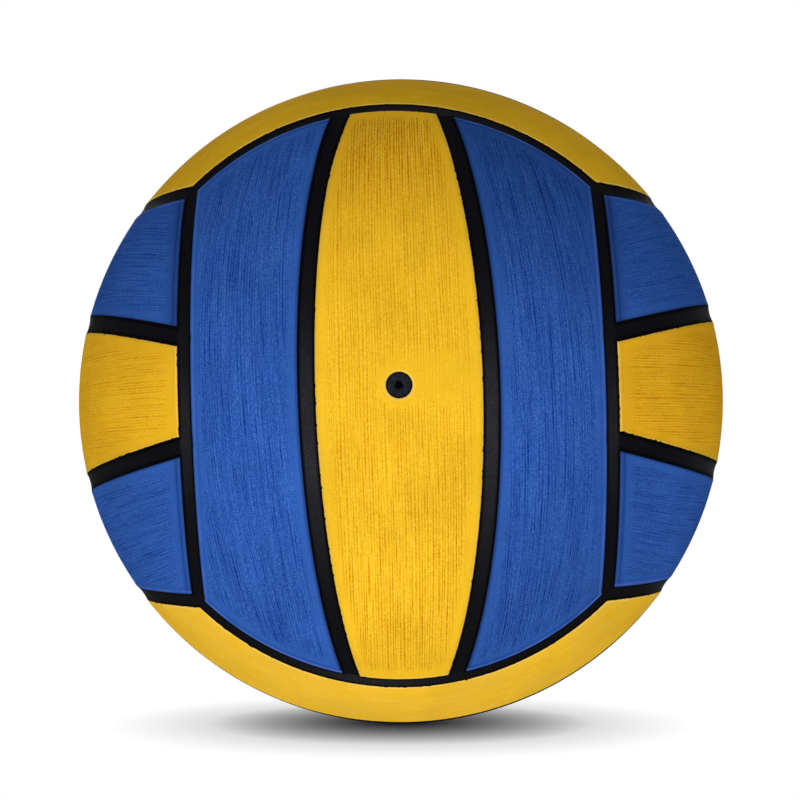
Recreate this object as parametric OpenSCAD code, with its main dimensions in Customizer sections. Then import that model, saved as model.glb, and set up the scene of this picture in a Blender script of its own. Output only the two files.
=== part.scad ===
// Water polo ball: six faces of three rubber strips each, with black seams between them,
// bonded over a carcass, a wound thread layer and a bladder. The valve points along -Y.

/* [Ball] */
// Outside diameter of the inflated ball
ball_d = 220; // [200:1:226]
// Thickness of the moulded cover panels
cover_t = 1.2; // [1:0.1:2]
// Thickness of the rubber carcass under the cover
carcass_t = 0.4; // [0.3:0.1:1]
// Thickness of the layer of wound nylon thread
winding_t = 0.5; // [0.3:0.1:1.2]
// Thickness of the bladder's wall
bladder_t = 0.6; // [0.4:0.1:1.2]
// Line of cement between two bonded layers
bond_gap = 0.1; // [0.05:0.01:0.2]

/* [Cover pattern] */
// Width of a black seam, measured on the ball
seam_w = 5; // [3:0.1:7]
// Lean of an inner seam's plane from the middle of its face
strip_angle = 14; // [11:0.5:17]
// How far the channel pressed in over a seam runs onto the panel beside it
shoulder_w = 0.6; // [0.3:0.1:1.2]
// Depth of that channel along the middle of the seam
channel_depth = 0.7; // [0.4:0.05:0.9]

/* [Valve core] */
// Diameter of the core's round head
head_d = 7.2; // [6.4:0.1:9]
// How far the head lies below the ball's surface
head_recess = 0.2; // [0.1:0.05:0.5]
// Width of the open ring round the head
head_gap = 0.25; // [0.15:0.05:0.5]
// Width of the bevel round the head
head_bevel = 0.3; // [0.1:0.05:0.5]
// Diameter of the core's stem
stem_d = 4.6; // [4.2:0.1:5.6]
// Length of the stem under the head
stem_l = 12; // [9:0.5:16]
// Diameter of the bore that takes an inflation needle
needle_d = 2.2; // [1.8:0.1:2.6]
// Length of that bore's straight wall
needle_l = 6; // [4:0.5:7]
// Depth and width of the lead-in at the bore's mouth
lead_in = 0.4; // [0.2:0.1:0.6]
// Length across the stem of the slit that closes behind the needle
slit_l = 3; // [2:0.1:3.4]
// Width of that slit at rest
slit_w = 0.12; // [0.08:0.02:0.2]

/* [Valve body] */
// Play between the stem and the body's bore, on the radius
stem_fit = 0.05; // [0.03:0.01:0.08]
// Diameter of the body's neck
neck_d = 11; // [9:0.5:14]
// Length of the neck past the end of the stem
neck_lip = 1.5; // [0.5:0.5:3]
// Depth of the seat in the neck that takes the head
seat_depth = 0.2; // [0.1:0.05:0.4]
// Diameter of the flange that is vulcanised inside the bladder
flange_d = 26; // [20:1:34]
// Thickness of the flange
flange_t = 0.8; // [0.5:0.1:1.5]
// Diameter of the patch between the flange and the bladder
patch_d = 40; // [36:1:50]
// Thickness of the patch
patch_t = 0.6; // [0.4:0.1:1]

/* [Hidden] */
$fn = 128;

blue = [0.12, 0.30, 0.62];
yellow = [0.95, 0.72, 0.12];
black = [0.11, 0.11, 0.12];

// Each face is the front face turned. Its strips run along Z in front and behind,
// along Y at the sides, and along X above and below.
front_angles = [0, 0, 0];
back_angles = [0, 0, 180];
left_angles = [0, 90, -90];
right_angles = [0, 90, 90];
top_angles = [-90, 0, 90];
bottom_angles = [90, 0, 90];

// How far a cut runs past what it cuts
overrun = 1;

ball_r = ball_d / 2;
carcass_r = ball_r - cover_t - bond_gap;
winding_r = carcass_r - carcass_t - bond_gap;
bladder_r = winding_r - winding_t - bond_gap;
patch_r = bladder_r - bladder_t - bond_gap;
flange_r = patch_r - patch_t - bond_gap;

// The seams between faces lie on six planes at the distance of a cube's corners,
// so that they meet three by three where the cube's corners touch the ball
face_half = ball_r / norm([1, 1, 1]);
seam_circle_r = sqrt(pow(ball_r, 2) - pow(face_half, 2));
// Half of a seam's width, and the same width seen straight along one of those circles
seam_half = seam_w / 2;
edge_half = seam_half * seam_circle_r / ball_r;

// The channel is a round bar laid on the seam: its radius follows from width and depth
channel_half = seam_half + shoulder_w;
channel_arc_r = (pow(channel_half, 2) + pow(channel_depth, 2)) / (2 * channel_depth);
channel_path_r = ball_r - channel_depth + channel_arc_r;

// The opening in the cover and the seat in the neck go round the head
opening_d = head_d + 2 * head_gap;
head_top = ball_r - head_recess;
seat_z = carcass_r - seat_depth;
neck_bottom = seat_z - stem_l - neck_lip;
sleeve_d = neck_d + 2 * bond_gap;

// Distance from the face's middle plane to an inner seam's plane, y out from the ball's centre
function inner_seam_x(y, offset) = (y * sin(strip_angle) + offset) / cos(strip_angle);

module layer(r, t) {
    difference() {
        sphere(r = r);
        sphere(r = r - t);
    }
}

// A piece of the cover over an outline in the front face's plan, with x across the strips
module cover_over(outline) {
    intersection() {
        layer(ball_r, cover_t);
        linear_extrude(height = ball_d, center = true)
            polygon([for (p = outline) [p[0], -p[1]]]);
    }
}

// Everything on one side of a plane through the ball's centre
module half_space(normal) {
    rotate([0, acos(normal[2] / norm(normal)), atan2(normal[1], normal[0])])
        translate([-ball_d, -ball_d, 0])
            cube(2 * ball_d);
}

module valve_axis() {
    rotate([90, 0, 0])
        children();
}

// The round bar that presses the channel over an inner seam, side -1 or 1
module inner_channel(side) {
    rotate([0, 0, side * strip_angle])
        rotate([0, 90, 0])
            rotate_extrude()
                translate([channel_path_r, 0])
                    circle(r = channel_arc_r);
}

// The same over a seam between two faces, on a circle square to X
module edge_channel(side) {
    rotate([0, 90, 0])
        translate([0, 0, side * face_half * channel_path_r / ball_r])
            rotate_extrude()
                translate([seam_circle_r * channel_path_r / ball_r, 0])
                    circle(r = channel_arc_r);
}

// The channel across the ends of the front face's strips
module end_channel() {
    rotate([0, 0, -90])
        edge_channel(1);
}

// The outer strips of a face, side -1 or 1
module side_panel(turn, side, tint) {
    near = face_half + edge_half;
    far = ball_r + overrun;
    color(tint)
        rotate(turn)
            rotate([0, side < 0 ? 180 : 0, 0])
                difference() {
                    cover_over([
                        [inner_seam_x(near, seam_half), near],
                        [face_half - edge_half, near],
                        [face_half - edge_half, far],
                        [inner_seam_x(far, seam_half), far]
                    ]);
                    inner_channel(1);
                    edge_channel(1);
                    end_channel();
                }
}

// The middle strip of a face, which narrows towards both ends
module middle_panel(turn, tint) {
    near = face_half + edge_half;
    far = ball_r + overrun;
    color(tint)
        rotate(turn)
            difference() {
                cover_over([
                    [-inner_seam_x(near, -seam_half), near],
                    [inner_seam_x(near, -seam_half), near],
                    [inner_seam_x(far, -seam_half), far],
                    [-inner_seam_x(far, -seam_half), far]
                ]);
                inner_channel(-1);
                inner_channel(1);
                end_channel();
            }
}

// The middle strip with the opening for the valve
module valve_panel(turn, tint) {
    color(tint)
        difference() {
            middle_panel(turn, tint);
            valve_axis()
                cylinder(d = opening_d, h = ball_r + overrun);
        }
}

// A ring of seam rubber between two planes square to X, offset from the ball's centre.
// Its back is flat across and its face is the channel.
module seam_ring(offset, half) {
    lean = asin(offset / ball_r);
    rotate([0, 90, 0])
        rotate_extrude()
            difference() {
                intersection() {
                    translate([0, offset - half])
                        square([ball_r, 2 * half]);
                    rotate(lean)
                        translate([ball_r - cover_t, -seam_w])
                            square([cover_t, 2 * seam_w]);
                }
                rotate(lean)
                    translate([channel_path_r, 0])
                        circle(r = channel_arc_r);
            }
}

// The black strip between two strips of one face
module inner_seam(turn, side) {
    near = face_half + edge_half;
    color(black)
        rotate(turn)
            rotate([0, side < 0 ? 180 : 0, 0])
                intersection() {
                    rotate([0, 0, strip_angle])
                        seam_ring(0, seam_half);
                    translate([-ball_r, -near - ball_r, -ball_r])
                        cube([ball_d, ball_r, ball_d]);
                }
}

// The black strip along the side of a face, mitred with two others at each corner.
// The next face's two inner seams run out into its channel.
module edge_seam(turn, side) {
    color(black)
        rotate(turn)
            rotate([0, side < 0 ? 180 : 0, 0])
                difference() {
                    intersection() {
                        seam_ring(face_half, edge_half);
                        mitred_ends();
                    }
                    for (end = [-1, 1])
                        intersection() {
                            rotate(right_angles)
                                inner_channel(end);
                            translate([face_half, -ball_d, -ball_r])
                                cube([ball_d, ball_d, ball_d]);
                        }
                }
}

// The space between the mitre planes at the two ends of an edge seam
module mitred_ends() {
    intersection() {
        half_space([1, -1, -2]);
        half_space([1, -1, 2]);
        half_space([-1, -2, -1]);
        half_space([-1, -2, 1]);
    }
}

module sleeve_hole() {
    valve_axis()
        cylinder(d = sleeve_d, h = ball_r);
}

module carcass() {
    color([0.16, 0.15, 0.15])
        difference() {
            layer(carcass_r, carcass_t);
            sleeve_hole();
        }
}

module nylon_winding() {
    color([0.88, 0.87, 0.82])
        difference() {
            layer(winding_r, winding_t);
            sleeve_hole();
        }
}

module bladder() {
    color([0.20, 0.19, 0.19])
        difference() {
            layer(bladder_r, bladder_t);
            sleeve_hole();
        }
}

module valve_patch() {
    color([0.24, 0.22, 0.21])
        difference() {
            intersection() {
                layer(patch_r, patch_t);
                valve_axis()
                    cylinder(d = patch_d, h = ball_r);
            }
            sleeve_hole();
        }
}

// A neck with a bore for the core, and a flange that follows the bladder's wall
module valve_body() {
    color(black)
        difference() {
            union() {
                intersection() {
                    sphere(r = carcass_r);
                    valve_axis()
                        translate([0, 0, neck_bottom])
                            cylinder(d = neck_d, h = ball_r);
                }
                intersection() {
                    layer(flange_r, flange_t);
                    valve_axis()
                        cylinder(d = flange_d, h = ball_r);
                }
            }
            valve_axis()
                cylinder(d = stem_d + 2 * stem_fit, h = ball_r);
            valve_axis()
                translate([0, 0, seat_z])
                    cylinder(d = opening_d, h = ball_r);
        }
}

// A push-in plug: head, stem, needle bore with a lead-in, and the slit that seals it
module valve_core() {
    bore_top = head_top - lead_in;
    bore_bottom = bore_top - needle_l;
    stem_bottom = seat_z - stem_l;
    // The slit runs up into the bore by its own width
    slit_top = bore_bottom + slit_w;
    slit_bottom = stem_bottom - overrun;
    color([0.15, 0.16, 0.18])
        valve_axis()
            difference() {
                rotate_extrude()
                    polygon([
                        [0, stem_bottom],
                        [stem_d / 2, stem_bottom],
                        [stem_d / 2, seat_z],
                        [head_d / 2, seat_z],
                        [head_d / 2, head_top - head_bevel],
                        [head_d / 2 - head_bevel, head_top],
                        [0, head_top]
                    ]);
                translate([0, 0, bore_bottom])
                    cylinder(d = needle_d, h = needle_l + overrun);
                translate([0, 0, bore_top])
                    cylinder(d1 = needle_d, d2 = needle_d + 2 * lead_in, h = lead_in);
                translate([-slit_l / 2, -slit_w / 2, slit_bottom])
                    cube([slit_l, slit_w, slit_top - slit_bottom]);
            }
}

side_panel(front_angles, -1, blue);  // front_left_panel
valve_panel(front_angles, yellow);  // front_middle_panel
side_panel(front_angles, 1, blue);  // front_right_panel
side_panel(back_angles, 1, blue);  // back_left_panel
middle_panel(back_angles, yellow);  // back_middle_panel
side_panel(back_angles, -1, blue);  // back_right_panel
side_panel(left_angles, -1, blue);  // left_upper_panel
middle_panel(left_angles, yellow);  // left_middle_panel
side_panel(left_angles, 1, blue);  // left_lower_panel
side_panel(right_angles, -1, blue);  // right_upper_panel
middle_panel(right_angles, yellow);  // right_middle_panel
side_panel(right_angles, 1, blue);  // right_lower_panel
side_panel(top_angles, -1, yellow);  // top_front_panel
middle_panel(top_angles, blue);  // top_middle_panel
side_panel(top_angles, 1, yellow);  // top_back_panel
side_panel(bottom_angles, -1, yellow);  // bottom_front_panel
middle_panel(bottom_angles, blue);  // bottom_middle_panel
side_panel(bottom_angles, 1, yellow);  // bottom_back_panel
edge_seam(front_angles, -1);  // front_left_edge_seam
inner_seam(front_angles, -1);  // front_left_inner_seam
inner_seam(front_angles, 1);  // front_right_inner_seam
edge_seam(front_angles, 1);  // front_right_edge_seam
edge_seam(back_angles, 1);  // back_left_edge_seam
inner_seam(back_angles, 1);  // back_left_inner_seam
inner_seam(back_angles, -1);  // back_right_inner_seam
edge_seam(back_angles, -1);  // back_right_edge_seam
edge_seam(left_angles, -1);  // left_upper_edge_seam
inner_seam(left_angles, -1);  // left_upper_inner_seam
inner_seam(left_angles, 1);  // left_lower_inner_seam
edge_seam(left_angles, 1);  // left_lower_edge_seam
edge_seam(right_angles, -1);  // right_upper_edge_seam
inner_seam(right_angles, -1);  // right_upper_inner_seam
inner_seam(right_angles, 1);  // right_lower_inner_seam
edge_seam(right_angles, 1);  // right_lower_edge_seam
edge_seam(top_angles, -1);  // top_front_edge_seam
inner_seam(top_angles, -1);  // top_front_inner_seam
inner_seam(top_angles, 1);  // top_back_inner_seam
edge_seam(top_angles, 1);  // top_back_edge_seam
edge_seam(bottom_angles, -1);  // bottom_front_edge_seam
inner_seam(bottom_angles, -1);  // bottom_front_inner_seam
inner_seam(bottom_angles, 1);  // bottom_back_inner_seam
edge_seam(bottom_angles, 1);  // bottom_back_edge_seam
carcass();
nylon_winding();
bladder();
valve_patch();
valve_body();
valve_core();
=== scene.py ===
"""A water polo ball on a white floor: moulded rubber strips, black seams and a push-in valve core.

The ball's centre is the origin. -Y points out of the valve, towards the camera, and +Z runs up the
front strips. Everything is in metres.
"""

import bpy
import numpy as np
from mathutils import Matrix


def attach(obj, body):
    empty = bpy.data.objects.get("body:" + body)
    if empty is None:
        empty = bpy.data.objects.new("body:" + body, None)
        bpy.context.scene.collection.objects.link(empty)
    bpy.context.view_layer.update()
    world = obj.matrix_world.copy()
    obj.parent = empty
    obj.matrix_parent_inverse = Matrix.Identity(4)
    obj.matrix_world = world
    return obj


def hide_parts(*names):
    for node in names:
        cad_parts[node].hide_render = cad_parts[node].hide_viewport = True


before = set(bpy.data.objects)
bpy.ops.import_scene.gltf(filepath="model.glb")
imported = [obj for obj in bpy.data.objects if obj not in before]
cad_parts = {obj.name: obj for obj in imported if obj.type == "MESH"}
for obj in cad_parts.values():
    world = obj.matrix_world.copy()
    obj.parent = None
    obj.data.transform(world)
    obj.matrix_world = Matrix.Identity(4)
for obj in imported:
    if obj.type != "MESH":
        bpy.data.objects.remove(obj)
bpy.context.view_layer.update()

# ---- Camera -----------------------------------------------------------------------------------
# The ball was photographed square on to its valve, from 0.61 m. It lies turned a little: the camera
# is 2.5 degrees below the valve's axis, and sees the strips lean 0.9 degrees.

image_size = 800
ball_radius = 0.110
focal_pixels = 1754.2
camera_distance = 5.535 * ball_radius
towards_camera = np.array([0.004053, -0.999067, -0.042998])
towards_camera /= np.linalg.norm(towards_camera)
camera_up = np.array([0.016216, -0.042927, 0.998947])
camera_right = np.cross(camera_up, towards_camera)
camera_right /= np.linalg.norm(camera_right)
camera_up = np.cross(towards_camera, camera_right)
ball_offset_pixels = np.array([0.94, -1.44])

camera_data = bpy.data.cameras.new("camera")
camera_data.sensor_width = 36.0
camera_data.lens = camera_data.sensor_width * focal_pixels / image_size
camera_data.shift_x, camera_data.shift_y = -ball_offset_pixels / image_size
camera_data.clip_start = 0.01
camera = bpy.data.objects.new("camera", camera_data)
camera_place = np.eye(4)
camera_place[:3, :4] = np.column_stack(
    [camera_right, camera_up, towards_camera, towards_camera * camera_distance]
)
camera.matrix_world = Matrix(camera_place.tolist())
bpy.context.scene.collection.objects.link(camera)
bpy.context.scene.camera = camera


# ---- Cover strips -----------------------------------------------------------------------------
# Eighteen strips of moulded rubber, three on each of six faces, vulcanised to the carcass. Blue and
# yellow take turns. Fine grip ridges run along each strip and stop short of a smooth border.

cover_thickness = 0.0012
seam_width = 0.005
seam_half = seam_width / 2
inner_lean = np.radians(14.0)
channel_depth = 0.00045
channel_half = seam_half + 0.0006
channel_bend = (channel_half**2 + channel_depth**2) / (2 * channel_depth)
shoulder_round = 0.00008
field_depth = 0.00008
face_latitude = np.arcsin(1 / np.sqrt(3))
face_half = ball_radius * np.sin(face_latitude)
edge_half = seam_half * np.cos(face_latitude)
end_plane = face_half + edge_half
edge_plane = face_half - edge_half
valve_opening_radius = 0.00385
opening_rim_depth = 0.00022
opening_rim_width = 0.00040

# Each face is the front face turned about X, Y and Z, in degrees, and its strips and seams are
# named on its -1 and its +1 side.
face_turns = {
    "front": ((0, 0, 0), {-1: "left", 1: "right"}),
    "back": ((0, 0, 180), {-1: "right", 1: "left"}),
    "left": ((0, 90, -90), {-1: "upper", 1: "lower"}),
    "right": ((0, 90, 90), {-1: "upper", 1: "lower"}),
    "top": ((-90, 0, 90), {-1: "front", 1: "back"}),
    "bottom": ((90, 0, 90), {-1: "front", 1: "back"}),
}


def turned(point, degrees):
    """Points turned about X, then Y, then Z, by the three angles."""
    for axis, angle in enumerate(np.radians(degrees)):
        first, second = (axis + 1) % 3, (axis + 2) % 3
        matrix = np.eye(3)
        matrix[first, first] = matrix[second, second] = np.cos(angle)
        matrix[first, second], matrix[second, first] = -np.sin(angle), np.sin(angle)
        point = point @ matrix.T
    return point


def smooth_step(low, high, value):
    """0 below low, 1 above high, and 3t^2 - 2t^3 at a share t between them."""
    share = np.clip((value - low) / (high - low), 0, 1)
    return share * share * (3 - 2 * share)


def seam_distance(point):
    """Distance over the skin from the middle of the nearest seam between faces, and within a face.

    A seam between faces is the circle where one coordinate is face_half, and it ends at the cube's
    corner, where all three are. One within a face lies on a plane through the ball's centre that
    leans inner_lean from the face's middle, and it ends at the seams between faces.
    """
    x, y, z = np.abs(np.moveaxis(point / np.linalg.norm(point, axis=-1, keepdims=True), -1, 0))
    corner = np.arccos(np.clip((x + y + z) / np.sqrt(3), -1, 1))
    between = within = np.full(x.shape, np.inf)
    for across, outward, along in ((x, y, z), (z, x, y), (y, z, x)):
        circle = np.abs(np.arcsin(across) - face_latitude)
        between = np.minimum(between, np.where(along <= outward, circle, corner))
        plane = np.arcsin(across * np.cos(inner_lean) - outward * np.sin(inner_lean))
        past_end = np.maximum(face_latitude - np.arcsin(outward), 0)
        within = np.minimum(within, np.hypot(plane, past_end))
    return between * ball_radius, within * ball_radius


def pressed_in(between, within):
    """Depth of the channel at those distances from the seams, as a round bar laid there leaves it.

    The two distances are blended where seams meet, and the channel's shoulder is rounded over.
    """
    blend = 0.0008
    share = np.clip(0.5 + 0.5 * (within - between) / blend, 0, 1)
    nearest = within + (between - within) * share - blend * share * (1 - share)
    depth = channel_depth - nearest * np.abs(nearest) / (2 * channel_bend)
    return (depth + np.hypot(depth, shoulder_round)) / 2


def border_steps(length, count, middle):
    """Places from 0 to length, as shares of it, closer together near both ends.

    There are count close steps at each end, the first 0.2 mm, and middle even ones between them.
    """
    first_step, growth = 0.0002, 1.12
    close = np.cumsum(first_step * growth ** np.arange(count))
    close = np.concatenate([np.zeros(1), close])
    between = np.linspace(close[-1], length - close[-1], middle + 1)[1:-1]
    return np.concatenate([close, between, length - close[::-1]]) / length


def strip_grid(inner_plane, outer_plane, across_steps, along_steps):
    """Directions over one strip of the front face, as a grid of points on the ball.

    The first parameter goes across, from the plane that inner_plane gives at each latitude to the
    one that outer_plane gives, and the second along, between the seams at both ends. Longitude and
    latitude each depend on the other at the borders, so they are found by repeated substitution.
    """
    share_across, share_along = np.meshgrid(across_steps, 2 * along_steps - 1, indexing="ij")
    longitude, latitude = np.zeros((2, *share_across.shape))
    substitutions = 40
    for _ in range(substitutions):
        low, high = inner_plane(np.cos(latitude)), outer_plane(np.cos(latitude))
        longitude = low + (high - low) * share_across
        latitude = share_along * np.arccos(end_plane / (ball_radius * np.cos(longitude)))
    return ball_radius * np.stack(
        [
            np.cos(latitude) * np.sin(longitude),
            -np.cos(latitude) * np.cos(longitude),
            np.sin(latitude),
        ],
        -1,
    )


def ring_grid(grid, hole_radius, hole_count, middle):
    """The same strip with a round hole: rays from the hole to the strip's border, as seen from -Y.

    The first parameter goes round the border, clockwise, and the second outwards along the ray, in
    hole_count close steps at the hole and at the border, with middle even ones between them.
    """
    border = np.concatenate([grid[:-1, 0], grid[-1, :-1], grid[:0:-1, -1], grid[0, :0:-1]])[::-1]
    flat = border[:, [0, 2]]
    length = np.linalg.norm(flat, axis=1, keepdims=True)
    first_step, growth = 0.0002, 1.15
    close = np.concatenate([np.zeros(1), np.cumsum(first_step * growth ** np.arange(hole_count))])
    start, end = hole_radius + close[-1], length - close[-1]
    between = start + (end - start) * np.linspace(0, 1, middle + 1)[None, 1:-1]
    reach = np.concatenate(
        [
            np.broadcast_to(hole_radius + close, (len(flat), len(close))),
            between,
            length - close[None, ::-1],
        ],
        1,
    )
    place = (flat / length)[:, None] * reach[..., None]
    height = np.sqrt(ball_radius**2 - (place**2).sum(-1))
    return np.stack([place[..., 0], -height, place[..., 1]], -1)


# Small turns about X, Y and Z, in radians, by which the strips were laid off their true places. The
# rows are for 1, x, z, x squared, x times z and z squared of a point's direction.
laid_turns = np.array(
    [
        (0.0041, -0.0003, 0.0002),
        (0.0085, -0.0016, 0.0000),
        (0.0012, 0.0003, -0.0141),
        (-0.0085, -0.0044, -0.0147),
        (0.0175, -0.0068, 0.0044),
        (-0.0003, 0.0065, -0.0124),
    ]
)
# The front strip of the bottom reaches further back than it should, most on the left.
bottom_reach = 0.034
bottom_left_reach = 0.022


def as_laid(point):
    """Points moved over the skin as the strips were laid by hand, up to 6 mm off their true places.

    Each point is turned about X, Y and Z by small angles, each a quadratic in its direction's x
    and z, and the bottom strip's reach is added. They are nothing at the valve, and fade out behind
    the ball's widest line.
    """
    size = np.linalg.norm(point, axis=-1, keepdims=True)
    direction = point / size
    x, y, z = np.moveaxis(direction, -1, 0)
    powers = np.stack([np.ones_like(x), x, z, x * x, x * z, z * z], -1)
    turn = powers @ laid_turns
    reach = bottom_reach * smooth_step(0.70, 0.92, -z)
    reach += bottom_left_reach * smooth_step(0.62, 0.80, -z) * smooth_step(0.05, 0.40, -x)
    turn[..., 0] += reach * smooth_step(-0.55, -0.28, y)
    from_valve = np.where(y < 0, np.hypot(x, z), 1)
    turn *= (smooth_step(0.06, 0.30, from_valve) * smooth_step(-0.35, 0.15, -y))[..., None]
    moved = direction + np.cross(turn, direction)
    return moved / np.linalg.norm(moved, axis=-1, keepdims=True) * size


def skins(grid, depth, side, degrees):
    """Outer and inner face of a piece of the cover, over its grid on the front face.

    The outer face lies at that depth. side -1 turns both half round the middle of the front face,
    and the angles turn them from there to their own.
    """
    outer = grid * (1 - depth[..., None] / ball_radius)
    inner = grid * (1 - cover_thickness / ball_radius)
    if side < 0:
        outer, inner = outer * (-1, 1, -1), inner * (-1, 1, -1)
    return turned(outer, degrees), turned(inner, degrees)


def closed_piece(name, outer, inner, wrap, attributes, material):
    """A closed mesh from two grids, outer face and inner face, with walls round their borders.

    With wrap, the grid's first parameter goes all the way round, and both its rims get a wall.
    attributes are values at the grid's points, which the inner face repeats. Edges sharper than
    sharp_from stay sharp.
    """
    sharp_from = np.radians(40)
    rows, columns = outer.shape[:2]
    count = rows * columns
    number = np.arange(count).reshape(rows, columns)
    closed = np.vstack([number, number[:1]]) if wrap else number
    face = np.stack([closed[:-1, :-1], closed[1:, :-1], closed[1:, 1:], closed[:-1, 1:]], -1)
    face = face.reshape(-1, 4)
    if wrap:
        rims = [number[:, 0], number[::-1, -1]]
    else:
        rim = [number[:-1, 0], number[-1, :-1], number[:0:-1, -1], number[0, :0:-1]]
        rims = [np.concatenate(rim)]
    walls = []
    for rim in rims:
        after = np.roll(rim, -1)
        walls.append(np.stack([after, rim, rim + count, after + count], -1))
    faces = np.vstack([face, face[:, ::-1] + count, *walls])
    points = as_laid(np.concatenate([outer.reshape(-1, 3), inner.reshape(-1, 3)]))

    mesh = bpy.data.meshes.new(name)
    mesh.from_pydata(points.tolist(), [], faces.tolist())
    for key, values in attributes.items():
        kind = "FLOAT_VECTOR" if values.ndim == 3 else "FLOAT"
        layer = mesh.attributes.new(key, kind, "POINT")
        both = np.concatenate([values.reshape(count, -1)] * 2).astype(np.float32)
        layer.data.foreach_set("vector" if kind == "FLOAT_VECTOR" else "value", both.ravel())
    mesh.polygons.foreach_set("use_smooth", np.ones(len(faces), bool))
    mesh.set_sharp_from_angle(angle=sharp_from)
    mesh.materials.append(material)
    piece = bpy.data.objects.new(name, mesh)
    bpy.context.scene.collection.objects.link(piece)
    return piece


def node(tree, kind, settings=None, **inputs):
    """Adds a shader node.

    Each input is a value or another node's output. It is given by its name, or by its number as
    in input_0.
    """
    made = tree.nodes.new(kind)
    for key, value in (settings or {}).items():
        setattr(made, key, value)
    for key, value in inputs.items():
        if key.startswith("input_"):
            socket = made.inputs[int(key.removeprefix("input_"))]
        else:
            socket = made.inputs[key.replace("_", " ")]
        if isinstance(value, bpy.types.NodeSocket):
            tree.links.new(value, socket)
        else:
            socket.default_value = value
    return made


def computed(tree, operation, *terms):
    """One Math node's result."""
    inputs = {f"input_{i}": term for i, term in enumerate(terms)}
    return node(tree, "ShaderNodeMath", {"operation": operation}, **inputs).outputs[0]


def ramp(tree, value, low, high, to_low=0.0, to_high=1.0):
    """value taken smoothly from low..high to to_low..to_high."""
    return node(
        tree,
        "ShaderNodeMapRange",
        {"interpolation_type": "SMOOTHSTEP"},
        Value=value,
        From_Min=low,
        From_Max=high,
        To_Min=to_low,
        To_Max=to_high,
    ).outputs[0]


def mixed(tree, share, first, second, blend="MIX"):
    """Two colours mixed."""
    return node(
        tree,
        "ShaderNodeMix",
        {"data_type": "RGBA", "blend_type": blend, "clamp_factor": True},
        input_0=share,
        input_6=first,
        input_7=second,
    ).outputs[2]


def grain(tree, place, scale, detail=2.0, roughness=0.5):
    """Cloudy noise at a place stretched by three scales, each in cells to the metre."""
    stretched = node(
        tree, "ShaderNodeVectorMath", {"operation": "MULTIPLY"}, input_0=place, input_1=scale
    ).outputs[0]
    return node(
        tree, "ShaderNodeTexNoise", Vector=stretched, Scale=1.0, Detail=detail, Roughness=roughness
    ).outputs[0]


def new_material(name):
    """An empty node material, its tree and its surface shader."""
    material = bpy.data.materials.new(name)
    material.use_nodes = True
    tree = material.node_tree
    tree.nodes.clear()
    shader = tree.nodes.new("ShaderNodeBsdfPrincipled")
    output = tree.nodes.new("ShaderNodeOutputMaterial")
    tree.links.new(shader.outputs[0], output.inputs["Surface"])
    return material, tree, shader


def grey(tree, value):
    """A colour with the same value in all three channels."""
    return node(
        tree, "ShaderNodeCombineColor", input_0=value, input_1=value, input_2=value
    ).outputs[0]


def attribute(tree, name, output="Fac"):
    """A value or place that the mesh holds at each point."""
    return node(tree, "ShaderNodeAttribute", {"attribute_name": name}).outputs[output]


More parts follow.
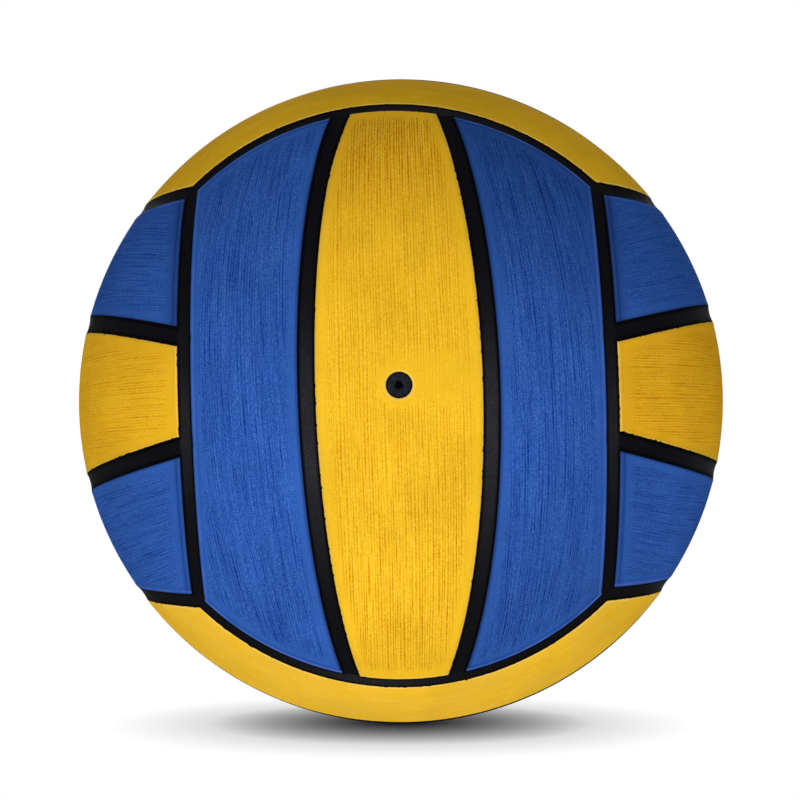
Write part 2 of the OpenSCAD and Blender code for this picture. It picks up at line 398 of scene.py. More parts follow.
def cover_rubber(name, colours, shares, deepening, overlap):
    """Moulded rubber with grip ridges along the strip.

    The strip's own place gives the ridges: a sine across it, whose phase wanders along it. Each
    groove has its own depth, which changes along it and is broken up into beads, and its darker
    colour there is painted shade in the groove. Long thin streaks and broad bands, both straight
    along the strip, vary how dark the rubber is between them. Near the border the ridges end, a
    pale line along the moulded lip is painted highlight, a dark line inside it is painted shade,
    and the seam's black runs over the edge in small jags. The whole colour is also made lighter or
    darker by painted light and shade held in the mesh. Specks deepen the colour: each channel is
    scaled by the speck's shade to its own power.
    """
    material, tree, shader = new_material(name)
    place = attribute(tree, "strip_place", "Vector")
    grip, highlight_share, shade_tint_share = (attribute(tree, key) for key in ("grip", "painted_highlight", "painted_shade_tint"))
    painted_light_and_shade, even, border = (attribute(tree, key) for key in ("painted_light_and_shade", "even", "border"))
    where = node(tree, "ShaderNodeTexCoord").outputs["Object"]
    across, along, _ = node(tree, "ShaderNodeSeparateXYZ", Vector=place).outputs

    ridge_pitch, wander_in_turns = 0.00086, 2.6
    wander = grain(tree, place, (240.0, 6.0, 0.0), 2.0)
    wander = computed(tree, "MULTIPLY", wander, wander_in_turns)
    turns = computed(tree, "MULTIPLY_ADD", across, 1 / ridge_pitch, wander)
    ridge = computed(tree, "SINE", computed(tree, "MULTIPLY", turns, 2 * np.pi))
    # The sine's highest places part one groove's row from the next.
    row = computed(tree, "FLOOR", computed(tree, "SUBTRACT", turns, 0.25))
    cells_between_rows, cells_per_metre = 7.31, 48.0
    row_place = node(
        tree,
        "ShaderNodeCombineXYZ",
        X=computed(tree, "MULTIPLY", row, cells_between_rows),
        Y=computed(tree, "MULTIPLY", along, cells_per_metre),
    ).outputs[0]
    row_depth = ramp(tree, grain(tree, row_place, (1.0, 1.0, 1.0), 3.0, 0.7), 0.32, 0.70)
    even_depth = 0.62
    row_depth = node(tree, "ShaderNodeMix", Factor=even, A=row_depth, B=even_depth).outputs[0]
    bead = ramp(tree, grain(tree, place, (1000.0, 800.0, 9.0), 1.0), 0.35, 0.65, 0.55, 1.0)
    groove = computed(tree, "MULTIPLY", row_depth, bead)
    groove = computed(tree, "MULTIPLY", ramp(tree, ridge, 0.50, -0.95), groove)
    streak = ramp(tree, grain(tree, place, (1500.0, 42.0, 0.0), 2.0, 0.6), 0.42, 0.70)
    band = ramp(tree, grain(tree, place, (330.0, 24.0, 3.0), 2.0), 0.38, 0.66)
    fleck = ramp(tree, grain(tree, place, (1250.0, 60.0, 5.0), 2.0, 0.6), 0.50, 0.74)
    speck = grain(tree, where, (2300.0, 2300.0, 2300.0), 1.0, 0.7)
    cloud = grain(tree, where, (38.0, 38.0, 38.0), 4.0, 0.6)

    # The groove colour darkens the grooves as painted shade in them, and goes into the streaks and
    # bands as the rubber's own darker tone.
    dark = computed(tree, "MULTIPLY", groove, shares["groove"])
    dark = computed(tree, "MULTIPLY_ADD", streak, shares["streak"], dark)
    dark = computed(tree, "MULTIPLY_ADD", band, shares["band"], dark)
    dark = computed(tree, "SUBTRACT", dark, shares["plain"])
    dark = computed(tree, "MULTIPLY_ADD", dark, grip, shares["plain"])
    colour = mixed(tree, dark, colours["crest"], colours["groove"])
    light = computed(tree, "MULTIPLY", fleck, shares["fleck"])
    light = computed(tree, "MULTIPLY", light, grip)
    colour = mixed(tree, light, colour, colours["fleck"])
    # Random clouds, times the strip's painted light and shade from the mesh.
    shade = computed(tree, "MULTIPLY", ramp(tree, cloud, 0.3, 0.7, 0.93, 1.06), painted_light_and_shade)
    colour = mixed(tree, 1.0, colour, grey(tree, shade), "MULTIPLY")

    with_grip, without_grip = 0.7 * shares["speck"], 0.3 * shares["speck"]
    speck_reach = computed(tree, "MULTIPLY_ADD", grip, with_grip, without_grip)
    speck_shade = computed(tree, "SUBTRACT", speck, 0.5)
    speck_shade = computed(tree, "MULTIPLY_ADD", speck_shade, speck_reach, 1.0)
    red, green, blue = (computed(tree, "POWER", speck_shade, power) for power in deepening)
    speck_tint = node(tree, "ShaderNodeCombineColor", input_0=red, input_1=green, input_2=blue)
    colour = mixed(tree, 1.0, colour, speck_tint.outputs[0], "MULTIPLY")

    # Painted shade: the ditch inside the border, and a dark tint over some yellow strips.
    colour = mixed(tree, shade_tint_share, colour, colours["groove"])
    # Painted highlight: a pale line along the moulded lip, in patches.
    highlight_patch = ramp(tree, grain(tree, where, (90.0, 90.0, 90.0), 3.0), 0.32, 0.62, 0.30, 1.0)
    highlight_share = computed(tree, "MULTIPLY", highlight_share, highlight_patch)
    colour = mixed(tree, highlight_share, colour, colours["painted_highlight"])
    jag = ramp(tree, grain(tree, where, (650.0, 650.0, 650.0), 3.0, 0.6), 0.50, 0.80, *overlap)
    edge_blur = 0.00004
    seam_black = (0.004, 0.004, 0.005, 1.0)
    covered = node(
        tree,
        "ShaderNodeMapRange",
        Value=computed(tree, "SUBTRACT", border, jag),
        From_Min=edge_blur,
        From_Max=-edge_blur,
    ).outputs[0]
    colour = mixed(tree, covered, colour, seam_black)
    tree.links.new(colour, shader.inputs["Base Color"])

    # Ridges stand up, grooves and streaks are cut in, and specks roughen all of it.
    height = computed(tree, "MULTIPLY", ridge, 0.2)
    height = computed(tree, "MULTIPLY_ADD", groove, -0.9, height)
    height = computed(tree, "MULTIPLY_ADD", streak, -0.5, height)
    height = computed(tree, "MULTIPLY", height, grip)
    height = computed(tree, "MULTIPLY_ADD", speck, 0.35, height)
    bump = node(tree, "ShaderNodeBump", Strength=0.7, Distance=0.00007, Height=height)
    tree.links.new(bump.outputs[0], shader.inputs["Normal"])
    rough = ramp(tree, speck, 0.2, 0.8, 0.60, 0.75)
    tree.links.new(rough, shader.inputs["Roughness"])
    shader.inputs["Specular IOR Level"].default_value = 0.001
    return material


yellow_rubber = cover_rubber(
    "yellow_rubber",
    colours={
        "crest": (0.960, 0.571, 0.024, 1.0),
        "groove": (0.620, 0.222, 0.0005, 1.0),
        "fleck": (0.950, 0.620, 0.070, 1.0),
        "painted_highlight": (0.880, 0.680, 0.200, 1.0),
    },
    shares={
        "groove": 1.35, "streak": 0.27, "band": 0.04, "plain": 0.14, "fleck": 0.20, "speck": 0.60
    },
    deepening=(1.0, 1.6, 9.0),
    overlap=(0.00015, 0.00060),
)
blue_rubber = cover_rubber(
    "blue_rubber",
    colours={
        "crest": (0.035, 0.120, 0.448, 1.0),
        "groove": (0.002, 0.026, 0.225, 1.0),
        "fleck": (0.075, 0.180, 0.560, 1.0),
        "painted_highlight": (0.105, 0.185, 0.560, 1.0),
    },
    shares={
        "groove": 0.90, "streak": 0.38, "band": 0.16, "plain": 0.10, "fleck": 0.20, "speck": 1.20
    },
    deepening=(3.0, 1.8, 1.0),
    overlap=(0.00015, 0.00022),
)


def near(distance, reach):
    """1 at no distance, and smoothly down to 0 at reach."""
    return 1 - smooth_step(0, reach, distance)


def plateau(low, high, value):
    """1 between the second number of low and the first of high, and 0 outside the other two."""
    return smooth_step(*low, value) * (1 - smooth_step(*high, value))


def soft_line(distance, place, width):
    """exp(-t^2): 1 at that place, and soft on both sides, where t is 1 at one width from it."""
    return np.exp(-(((distance - place) / width) ** 2))


def ridge_strength(name, x, z, height, border, end, blue, number):
    """How deep the grip ridges are over a strip, 1 being their usual depth.

    They stop short of the border, with ragged ends, and are worn down near the strip's middle. On
    the front's middle strip they also stop short of the valve, are worn away on its right, and are
    deeper towards the top. The faces that are seen from the side show them less.
    """
    ragged = 0.0012 * np.sin(x * 1900) * np.sin(x * 700 + number)
    grip = smooth_step(0.0018, 0.0050, border) * smooth_step(0.0030, 0.0075, end + ragged)
    worn, worn_place = (0.15, 0.0) if blue else (0.40, 0.15)
    grip *= 1 - worn * (1 - smooth_step(0.15, 0.75, np.abs(z / ball_radius - worn_place)))
    if name.startswith("front_middle"):
        smooth_radius, valve_wear = 0.0054, 0.7
        grip *= smooth_step(1.0, 1.5, np.hypot(x, z) / smooth_radius)
        beside_valve = np.hypot((x - 0.0095) / 0.0155, (z - 0.0015) / 0.0085)
        grip *= 1 - valve_wear * (1 - smooth_step(0.7, 1.2, beside_valve))
        deeper_above, shallower_below = 0.75, 0.17
        grip *= (
            1
            + deeper_above * smooth_step(0.45, 0.75, height)
            - shallower_below * smooth_step(0.05, 0.30, -height)
        )
    if name.startswith(("left", "right")):
        grip *= 0.72 if blue else 0.65
    if name.startswith(("top", "bottom")):
        grip *= 0.35
    return grip


def painted_border_lines(name, end, edge, inner, from_axis, height, blue):
    """Shares of lip and ditch, from the distances to a strip's three kinds of border.

    The lip is a narrow pale line along the border and round the valve's opening, a painted
    highlight on the moulded shoulder. The ditch is a dark one inside it, painted shade at the step
    down to the ridged field. The yellow strips of the side faces get a little of the ditch's colour
    all over as painted shade, more on the right face, and the front's middle strip gets it near its
    top. The bottom's strips are a little paler, as painted light from the floor below.
    """
    at_side = name.startswith(("left", "right"))
    # Painted highlight on the lip, and painted shade in the ditch inside it.
    if blue:
        end_lip, edge_lip = (0.15, 0.45) if at_side else (0.80, 0.40)
        end_lip = end_lip * soft_line(end, 0.0009, 0.0004)
        edge_lip = edge_lip * soft_line(edge, 0.0010, 0.0004)
        painted_highlight = np.maximum(end_lip, edge_lip)
        end_ditch = 0.45 * soft_line(end, 0.0019, 0.0006)
        edge_ditch = 0.22 * soft_line(edge, 0.0020, 0.0006)
        painted_shade_tint = np.maximum(end_ditch, edge_ditch)
    else:
        lip_place, lip_width, inner_lip = 0.00062, 0.00020, 0.40
        painted_highlight = soft_line(np.minimum(end, edge), lip_place, lip_width)
        painted_highlight = np.maximum(painted_highlight, inner_lip * soft_line(inner, lip_place, lip_width))
        painted_shade_tint = np.zeros_like(painted_highlight)
        # Painted shade: the yellow strips of the side faces get a dark tint all over, more on the
        # right face.
        if at_side:
            painted_highlight *= 0.7
            painted_shade_tint += 0.25 if name.startswith("right") else 0.15
    # A painted highlight round the valve's opening, and painted shade near the top of the front's
    # middle strip.
    if name.startswith("front_middle"):
        opening_highlight = soft_line(from_axis, valve_opening_radius + 0.0003, 0.0003)
        painted_highlight = np.maximum(painted_highlight, 0.6 * opening_highlight)
        painted_shade_tint += 0.10 * smooth_step(0.35, 0.60, height)
    # Painted light: the bottom's strips are a little paler, as lit from the floor.
    if name.startswith("bottom"):
        painted_highlight = np.maximum(painted_highlight, 0.10)
    return painted_highlight, painted_shade_tint


def painted_strip_shade(name, end, edge, inner, height, blue):
    """How light a strip is, as a share of its plain colour.

    It darkens towards the seams, most beside the inner ones, and the blue strips of the side faces
    have a broad dark band at their ends, as painted shade by the seams. Painted light and shade
    make the front's strips lighter or darker along their length: the left one lighter near its top
    and middle, the right one darker at its top and bottom, and the middle one a little darker
    below.
    """
    # Painted shade along the seams.
    if blue:
        shade = (1 - 0.62 * near(inner, 0.0014)) * (1 - 0.35 * near(np.minimum(end, edge), 0.0010))
    else:
        shade = 1 - 0.22 * near(inner, 0.0017)
    # Painted shade: a broad dark band at the ends of the side faces' blue strips.
    if blue and name.startswith(("left", "right")):
        dark, reach = (0.50, 0.0075) if "upper" in name else (0.30, 0.0045)
        shade *= 1 - dark * near(end, reach)
    # Painted light and shade along the front's strips.
    if name.startswith("front_middle"):
        shade *= 1 + 0.03 * plateau((0.10, 0.30), (0.45, 0.60), height)
        below = smooth_step(0.05, 0.35, -height)
        lowest = smooth_step(0.60, 0.80, -height)
        shade *= 1 - 0.035 * below - 0.03 * lowest
    if name.startswith("front_left"):
        shade *= 1 + 0.10 * smooth_step(0.45, 0.65, height)
        shade *= 1 + 0.07 * soft_line(height, 0.0, 0.28)
    if name.startswith("front_right"):
        shade *= 1.03 - 0.25 * smooth_step(-0.05, 0.65, height)
        shade *= 1 - 0.17 * smooth_step(0.05, 0.60, -height)
    return shade


def black_flash(name, across, height):
    """How far the black of the inner seams runs over a strip's shoulder beyond its usual jags.

    On the front it does so only near the top of the left seam.
    """
    if name.startswith("bottom_middle"):
        return 0.0010
    if name.startswith(("left", "right")):
        return 0.0003
    if name.startswith("front"):
        return 0.0005 * smooth_step(0.55, 0.75, height) * (across < 0)
    return 0.0


def strip_piece(name, grid, side, degrees, blue, number, with_valve):
    """One strip from its grid on the front face: skin pressed in along the seams, and its pattern.

    side -1 turns it half round the face's middle. Inside its moulded border the strip's field lies
    field_depth lower. The ridge coordinate is the distance from the middle plane, widened a little
    where the strip runs round the ball, plus a small slant. end, edge and inner are the distances
    to its three kinds of border, and height is a share of the ball's radius.
    """
    x, y, z = np.moveaxis(grid, -1, 0)
    height = side * z / ball_radius
    from_axis = np.hypot(x, z)
    between, within = seam_distance(grid)
    border = np.maximum(np.minimum(between, within) - seam_half, 0)
    inner = np.maximum(within - seam_half, 0)
    end = ball_radius * (np.arcsin(-y / ball_radius) - face_latitude) - seam_half
    edge = ball_radius * (face_latitude - np.arcsin(np.abs(x) / ball_radius)) - seam_half

    depth = pressed_in(between, within) + field_depth * smooth_step(0.0010, 0.0020, border)
    if with_valve:
        rim = np.clip(1 - (from_axis - valve_opening_radius) / opening_rim_width, 0, 1)
        depth += opening_rim_depth * rim**2

    slant, fan = (0.03, 0.55) if blue else (0.0, 0.10)
    latitude_cosine = np.sqrt(1 - (z / ball_radius) ** 2)
    # Each strip shows its own part of the noise.
    noise_shift = number * 0.317
    across = x / latitude_cosine**fan + slant * z + noise_shift
    strip_place = np.stack([across, z + noise_shift, np.zeros_like(z)], -1)
    # Painted highlight and shade along the borders, and painted light and shade over the strip.
    painted_highlight, painted_shade_tint = painted_border_lines(name, end, edge, inner, from_axis, height, blue)
    flash = black_flash(name, x * side, height) * (within < between)
    even = np.zeros_like(z)
    if name.startswith("front_middle"):
        even = 0.35 * (1 - plateau((0.05, 0.20), (0.55, 0.70), -height))
    return closed_piece(
        name,
        *skins(grid, depth, side, degrees),
        with_valve,
        {
            "strip_place": strip_place,
            "grip": ridge_strength(name, x, z, height, border, end, blue, number),
            "painted_highlight": painted_highlight,
            "painted_shade_tint": painted_shade_tint,
            "border": border - flash,
            "painted_light_and_shade": painted_strip_shade(name, end, edge, inner, height, blue),
            "even": even,
        },
        blue_rubber if blue else yellow_rubber,
    )


def side_inner(cosine):
    """Longitude of a side strip's inner border, at the latitude with that cosine."""
    return inner_lean + np.arcsin(seam_half / (ball_radius * cosine))


def side_outer(cosine):
    """Longitude of a side strip's outer border."""
    return np.arcsin(np.minimum(edge_plane / (ball_radius * cosine), 1))


def middle_right(cosine):
    """Longitude of a middle strip's right border."""
    return inner_lean - np.arcsin(seam_half / (ball_radius * cosine))


def middle_left(cosine):
    """Longitude of a middle strip's left border."""
    return -middle_right(cosine)


# The strips' widths and lengths over the skin, near enough to space the steps by.
side_width, side_length = 0.042, 0.170
middle_width, middle_length = 0.049, 0.200
side_grid = strip_grid(
    side_inner, side_outer, border_steps(side_width, 12, 34), border_steps(side_length, 12, 70)
)
middle_grid = strip_grid(
    middle_left,
    middle_right,
    border_steps(middle_width, 12, 34),
    border_steps(middle_length, 12, 80),
)
valve_strip_grid = strip_grid(
    middle_left,
    middle_right,
    border_steps(middle_width, 6, 30),
    border_steps(middle_length, 8, 120),
)
valve_grid = ring_grid(valve_strip_grid, valve_opening_radius, 14, 44)

strip_number = 0
for face_name, (degrees, side_names) in face_turns.items():
    blue_outside = face_name in ("front", "back", "left", "right")
    for side in (-1, 0, 1):
        strip_number += 1
        with_valve = face_name == "front" and side == 0
        grid = side_grid if side else (valve_grid if with_valve else middle_grid)
        cad_node = f"{face_name}_{side_names[side] if side else 'middle'}_panel"
        blue = blue_outside == (side != 0)
        strip = strip_piece(
            cad_node + "_cover", grid, side or 1, degrees, blue, strip_number, with_valve
        )
        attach(strip, "ball")
        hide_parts(cad_node)


# ---- Seams ------------------------------------------------------------------------------------
# Black rubber fills the joints between the strips and is pressed in below them, with a satin skin.
# Two run up each face, and one along each side of it, mitred where three meet. Their middles are
# partly rubbed grey and partly given a painted sheen, most a little below the middle of their
# length, and their borders are darker as painted shade.


def seam_rubber():
    """Near-black satin rubber, darkest at its borders as painted shade, and lighter grey where the
    wear attribute says, partly rubbed and partly painted sheen.
    """
    material, tree, shader = new_material("seam_rubber")
    middle, wear_and_sheen = attribute(tree, "seam_middle"), attribute(tree, "seam_wear_and_sheen")
    where = node(tree, "ShaderNodeTexCoord").outputs["Object"]
    patch = ramp(tree, grain(tree, where, (45.0, 45.0, 45.0), 3.0, 0.6), 0.38, 0.60)
    speck = grain(tree, where, (2200.0, 2200.0, 2200.0), 2.0, 0.7)
    worn = computed(tree, "MULTIPLY", computed(tree, "MULTIPLY_ADD", patch, 0.25, 0.80), wear_and_sheen)
    worn = computed(tree, "MULTIPLY", worn, ramp(tree, speck, 0.25, 0.7, 0.35, 1.0))
    # Painted shade: the borders are darker than the middles.
    shaded_border_black, middle_black = (0.0016, 0.0015, 0.0022, 1.0), (0.0056, 0.0054, 0.0066, 1.0)
    colour = mixed(tree, middle, shaded_border_black, middle_black)
    # Partly rubbed wear, partly painted sheen.
    rubbed_and_sheen_grey = (0.037, 0.036, 0.041, 1.0)
    colour = mixed(tree, worn, colour, rubbed_and_sheen_grey)
    tree.links.new(colour, shader.inputs["Base Color"])
    rough = computed(tree, "MULTIPLY_ADD", speck, 0.12, ramp(tree, patch, 0.0, 1.0, 0.50, 0.60))
    tree.links.new(rough, shader.inputs["Roughness"])
    bump = node(tree, "ShaderNodeBump", Strength=0.5, Distance=0.00003, Height=speck)
    tree.links.new(bump.outputs[0], shader.inputs["Normal"])
    shader.inputs["Specular IOR Level"].default_value = 0.003
    return material


seam_material = seam_rubber()


def inner_seam_grid(across_steps, along_steps):
    """A seam within the front face: planes beside the leaning one, out to the strips' ends."""
    offset, share = np.meshgrid(seam_half * across_steps, along_steps, indexing="ij")
    reach = np.sqrt(ball_radius**2 - offset**2)
    end_angle = np.arccos((end_plane + offset * np.sin(inner_lean)) / np.cos(inner_lean) / reach)
    angle = share * end_angle
    outward, along = reach * np.cos(angle), reach * np.sin(angle)
    x = offset * np.cos(inner_lean) + outward * np.sin(inner_lean)
    y = offset * np.sin(inner_lean) - outward * np.cos(inner_lean)
    return np.stack([x, y, along], -1)


def edge_seam_grid(across_steps, along_steps):
    """A seam beside the front face: circles square to X, out to two mitre planes at each corner.

    The planes are x + out = 2z and 2 out - x = z, where out is the distance towards -Y.
    """
    x, share = np.meshgrid(face_half + edge_half * across_steps, along_steps, indexing="ij")
    reach = np.sqrt(ball_radius**2 - x**2)
    lean = np.arctan(0.5)
    first = lean + np.arcsin(x / (np.sqrt(5) * reach))
    second = np.arccos(x / (np.sqrt(5) * reach)) - lean
    angle = share * np.minimum(first, second)
    return np.stack([x, -reach * np.cos(angle), reach * np.sin(angle)], -1)


seam_across = np.linspace(-1, 1, 17)
seam_along = {"inner": np.linspace(-1, 1, 161), "edge": np.linspace(-1, 1, 121)}
seam_grids = {
    "inner": inner_seam_grid(seam_across, seam_along["inner"]),
    "edge": edge_seam_grid(seam_across, seam_along["edge"]),
}
# How far the seams are rubbed and given painted sheen, and where along them: 0 is halfway, and -1
# the lower end in front.
seam_wear_and_sheen = {"inner": 0.92, "edge": 0.50}
most_wear_and_sheen_at, wear_and_sheen_reach = -0.15, 0.30
for face_name, (degrees, side_names) in face_turns.items():
    for side, side_name in side_names.items():
        for kind, grid in seam_grids.items():
            between, within = seam_distance(grid)
            # The middle is clear of the painted shade at the seam's borders, and the wear share is
            # partly painted sheen.
            middle = 1 - smooth_step(0.0014, 0.0023, np.minimum(between, within))
            wear_and_sheen = seam_wear_and_sheen[kind] * soft_line(seam_along[kind] * side, most_wear_and_sheen_at, wear_and_sheen_reach)
            cad_node = f"{face_name}_{side_name}_{kind}_seam"
            seam = closed_piece(
                cad_node + "_strip",
                *skins(grid, pressed_in(between, within), side, degrees),
                False,
                {"seam_middle": middle, "seam_wear_and_sheen": middle * wear_and_sheen},
                seam_material,
            )
            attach(seam, "ball")
            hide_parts(cad_node)


# ---- Valve core and valve body ----------------------------------------------------------------
# The core is a push-in plug of moulded rubber with a needle hole, and the body is the neck and
# flange that hold it, vulcanised to the bladder. Both are fine-grained and nearly black.


def valve_rubber(name, colour, pale, cells, clean_from):
    """Moulded black rubber with a grey bloom in fine specks, out to clean_from off the axis."""
    material, tree, shader = new_material(name)
    where = node(tree, "ShaderNodeTexCoord").outputs["Object"]
    flat = node(
        tree,
        "ShaderNodeVectorMath",
        {"operation": "MULTIPLY"},
        input_0=where,
        input_1=(1.0, 0.0, 1.0),
    ).outputs[0]
    from_axis = node(
        tree, "ShaderNodeVectorMath", {"operation": "LENGTH"}, input_0=flat
    ).outputs["Value"]
    clean_blur = 0.00025
    bloom_here = ramp(tree, from_axis, clean_from, clean_from + clean_blur, 1.0, 0.0)
    bloom = ramp(tree, grain(tree, where, (cells, cells, cells), 4.0, 0.7), 0.40, 0.72)
    bloom = computed(tree, "MULTIPLY", bloom, bloom_here)
    speck = grain(tree, where, (4200.0, 4200.0, 4200.0), 2.0, 0.7)
    tree.links.new(mixed(tree, bloom, colour, pale), shader.inputs["Base Color"])
    tree.links.new(ramp(tree, bloom, 0.0, 1.0, 0.42, 0.60), shader.inputs["Roughness"])
    bump = node(tree, "ShaderNodeBump", Strength=0.4, Distance=0.00003, Height=speck)
    tree.links.new(bump.outputs[0], shader.inputs["Normal"])
    shader.inputs["Specular IOR Level"].default_value = 0.06
    return material


def dress(cad_node, material):
    """Gives a CAD node its finish."""
    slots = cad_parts[cad_node].data.materials
    slots.clear()
    slots.append(material)


core_rubber = valve_rubber(
    "core_rubber",
    colour=(0.003, 0.0036, 0.0055, 1.0),
    pale=(0.020, 0.025, 0.038, 1.0),
    cells=1500.0,
    clean_from=0.0032,
)
body_rubber = valve_rubber(
    "body_rubber",
    colour=(0.012, 0.012, 0.014, 1.0),
    pale=(0.030, 0.030, 0.033, 1.0),
    cells=300.0,
    clean_from=0.013,
)
dress("valve_core", core_rubber)
dress("valve_body", body_rubber)


# ---- Carcass, winding, bladder and patch ------------------------------------------------------
# Under the cover lie a thin rubber carcass, a layer of wound nylon thread that keeps the ball
# round, and the butyl bladder, with a patch where the valve's flange is vulcanised to it.


def sheet_rubber(name, colour, pale, cells):
    """Calendered rubber sheet, dusted with talc in soft patches."""
    material, tree, shader = new_material(name)
    where = node(tree, "ShaderNodeTexCoord").outputs["Object"]
    dust = ramp(tree, grain(tree, where, (cells, cells, cells), 5.0, 0.65), 0.42, 0.70)
    fine = grain(tree, where, (1300.0, 1300.0, 1300.0), 3.0, 0.6)
    tree.links.new(mixed(tree, dust, colour, pale), shader.inputs["Base Color"])
    tree.links.new(ramp(tree, dust, 0.0, 1.0, 0.55, 0.80), shader.inputs["Roughness"])
    bump = node(tree, "ShaderNodeBump", Strength=0.5, Distance=0.00004, Height=fine)
    tree.links.new(bump.outputs[0], shader.inputs["Normal"])
    shader.inputs["Specular IOR Level"].default_value = 0.3
    return material


def wound_thread():
    """Nylon thread wound round the ball many ways: three crossing families of fine strands."""
    material, tree, shader = new_material("wound_thread")
    where = node(tree, "ShaderNodeTexCoord").outputs["Object"]
    thread_pitch = 0.0008
    strands = None
    for turn in ((0.0, 0.5, 0.2), (1.1, 0.2, 0.6), (0.4, 1.3, 1.0)):
        laid = node(tree, "ShaderNodeMapping", Vector=where, Rotation=turn).outputs[0]
        across = node(tree, "ShaderNodeSeparateXYZ", Vector=laid).outputs[0]
        wave = computed(tree, "MULTIPLY", across, 2 * np.pi / thread_pitch)
        wave = computed(tree, "SINE", wave)
        strands = wave if strands is None else computed(tree, "MAXIMUM", strands, wave)
    between_threads, thread_top = (0.36, 0.34, 0.28, 1.0), (0.76, 0.74, 0.66, 1.0)
    colour = mixed(tree, ramp(tree, strands, -0.2, 1.0), between_threads, thread_top)
    shade = ramp(tree, grain(tree, where, (60.0, 60.0, 60.0), 3.0), 0.35, 0.65, 0.85, 1.05)
    colour = mixed(tree, 1.0, colour, grey(tree, shade), "MULTIPLY")
    tree.links.new(colour, shader.inputs["Base Color"])
    shader.inputs["Roughness"].default_value = 0.45
    bump = node(tree, "ShaderNodeBump", Strength=0.8, Distance=0.0002, Height=strands)
    tree.links.new(bump.outputs[0], shader.inputs["Normal"])
    return material


carcass_sheet = sheet_rubber(
    "carcass_sheet", (0.018, 0.017, 0.017, 1.0), (0.040, 0.038, 0.036, 1.0), 45.0
)
bladder_sheet = sheet_rubber(
    "bladder_sheet", (0.026, 0.024, 0.024, 1.0), (0.085, 0.082, 0.080, 1.0), 30.0
)
patch_sheet = sheet_rubber(
    "patch_sheet", (0.034, 0.030, 0.028, 1.0), (0.070, 0.064, 0.060, 1.0), 120.0
)
dress("carcass", carcass_sheet)
dress("nylon_winding", wound_thread())
dress("bladder", bladder_sheet)
dress("valve_patch", patch_sheet)


# ---- Floor and light --------------------------------------------------------------------------
# The ball lies on a plain white floor that runs into a white background. The light is soft and
# comes from the front, and from the pale floor below. The top of the ball is darker. One lamp
# stands behind the ball, for the side that the photo doesn't show.

# The camera stands low over the floor, and looks up by this angle from its level.
camera_looks_up = np.radians(4.2)
floor_up = np.cos(camera_looks_up) * camera_up - np.sin(camera_looks_up) * towards_camera
floor_up /= np.linalg.norm(floor_up)
floor_right = np.cross([0.0, 1.0, 0.0], floor_up)
floor_right /= np.linalg.norm(floor_right)
floor_ahead = np.cross(floor_up, floor_right)
floor_reach = 6.0
corners = [
    -floor_up * ball_radius + floor_reach * (a * floor_right + b * floor_ahead)
    for a, b in ((-1, -1), (1, -1), (1, 1), (-1, 1))
]
floor_mesh = bpy.data.meshes.new("floor")
floor_mesh.from_pydata([list(c) for c in corners], [], [(0, 1, 2, 3)])
floor = bpy.data.objects.new("floor", floor_mesh)
bpy.context.scene.collection.objects.link(floor)
# The floor's own light on the ball comes from the world's lower half.
floor.visible_diffuse = False
floor.visible_shadow = False


def is_seen(tree):
    """1 for the camera's rays, also by way of gloss or glass, and 0 for those that carry light."""
    path = tree.nodes.new("ShaderNodeLightPath").outputs
    seen = computed(tree, "MAXIMUM", path["Is Camera Ray"], path["Is Glossy Ray"])
    return computed(tree, "MAXIMUM", seen, path["Is Transmission Ray"])


floor_material = bpy.data.materials.new("floor_white")
floor_material.use_nodes = True
tree = floor_material.node_tree
tree.nodes.clear()
# The ball's soft shadow on the floor: how far occlusion reaches, and the power it is raised to.
shadow = 1.0
for contact_reach, contact_depth in ((0.018, 0.478), (0.038, 0.373)):
    contact = node(tree, "ShaderNodeAmbientOcclusion", {"samples": 24}, Distance=contact_reach)
    deepened = computed(tree, "POWER", contact.outputs["AO"], contact_depth)
    shadow = computed(tree, "MULTIPLY", deepened, shadow)
white = node(tree, "ShaderNodeEmission", Strength=shadow).outputs[0]
matt = node(tree, "ShaderNodeBsdfDiffuse", Color=(0.9, 0.9, 0.9, 1.0)).outputs[0]
both = node(
    tree, "ShaderNodeMixShader", input_0=is_seen(tree), input_1=matt, input_2=white
).outputs[0]
node(tree, "ShaderNodeOutputMaterial", Surface=both)
floor_mesh.materials.append(floor_material)

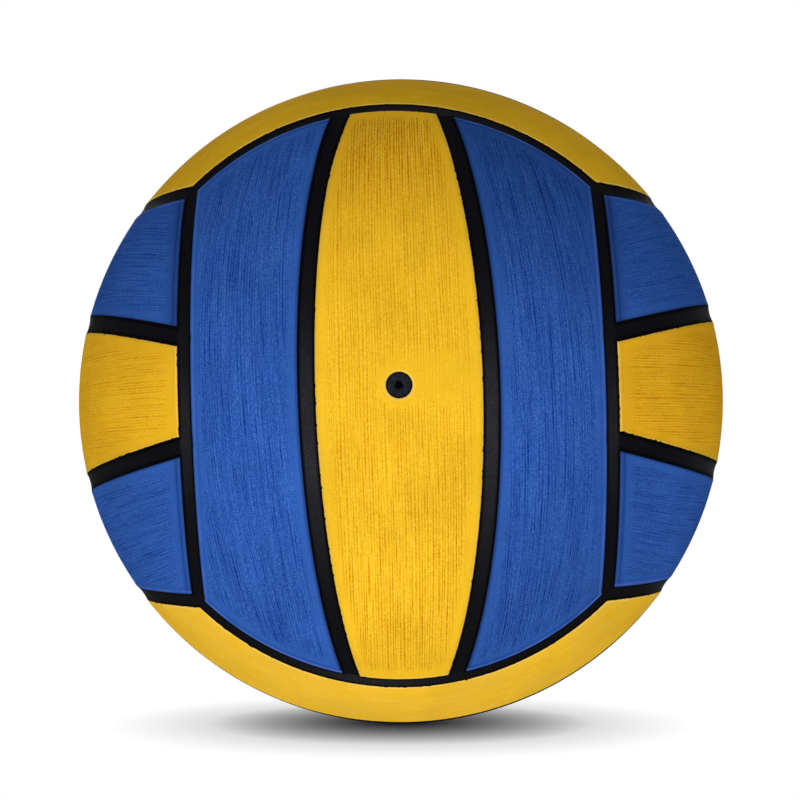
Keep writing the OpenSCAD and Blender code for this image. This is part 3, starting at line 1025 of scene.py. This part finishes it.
world = bpy.data.worlds.new("studio")
bpy.context.scene.world = world
world.use_nodes = True
tree = world.node_tree
tree.nodes.clear()
light_from_below, light_from_above = 0.49, 0.115
direction = node(tree, "ShaderNodeTexCoord").outputs["Generated"]
height = node(tree, "ShaderNodeSeparateXYZ", Vector=direction).outputs[2]
strength = node(
    tree,
    "ShaderNodeMapRange",
    Value=height,
    From_Min=-1.0,
    From_Max=1.0,
    To_Min=light_from_below,
    To_Max=light_from_above,
).outputs[0]
full_white = (1.0, 1.0, 1.0, 1.0)
fill = node(tree, "ShaderNodeBackground", Color=full_white, Strength=strength).outputs[0]
backdrop = node(tree, "ShaderNodeBackground", Color=full_white, Strength=1.0).outputs[0]
sky = node(
    tree, "ShaderNodeMixShader", input_0=is_seen(tree), input_1=fill, input_2=backdrop
).outputs[0]
node(tree, "ShaderNodeOutputWorld", Surface=sky)


def softbox(name, place, size, power):
    """A square area lamp that faces the ball's centre, which camera rays don't see."""
    data = bpy.data.lights.new(name, "AREA")
    data.shape = "SQUARE"
    data.size = size
    data.energy = power
    lamp = bpy.data.objects.new(name, data)
    back = np.array(place, float) / np.linalg.norm(place)
    side = np.cross([0.0, 0.0, 1.0], back)
    side /= np.linalg.norm(side)
    matrix = np.eye(4)
    matrix[:3, :4] = np.column_stack([side, np.cross(back, side), back, place])
    lamp.matrix_world = Matrix(matrix.tolist())
    lamp.visible_camera = False
    bpy.context.scene.collection.objects.link(lamp)


# Each lamp's name, place, width and power in watts.
for lamp in (
    ("front_box", (0.0, -1.5, -0.15), 1.2, 5.5),
    ("high_box", (0.0, -1.4, 0.55), 1.2, 3.2),
    ("low_box", (0.0, -1.3, -0.75), 1.2, 7.0),
    ("under_box", (0.0, -0.8, -1.25), 1.2, 2.8),
    ("left_box", (-1.3, -0.75, -0.1), 1.0, 2.8),
    ("right_box", (1.3, -0.75, -0.1), 1.0, 0.6),
    ("back_box", (0.0, 1.4, 0.50), 1.2, 12.0),
):
    softbox(*lamp)

bpy.context.scene.view_settings.view_transform = "Standard"
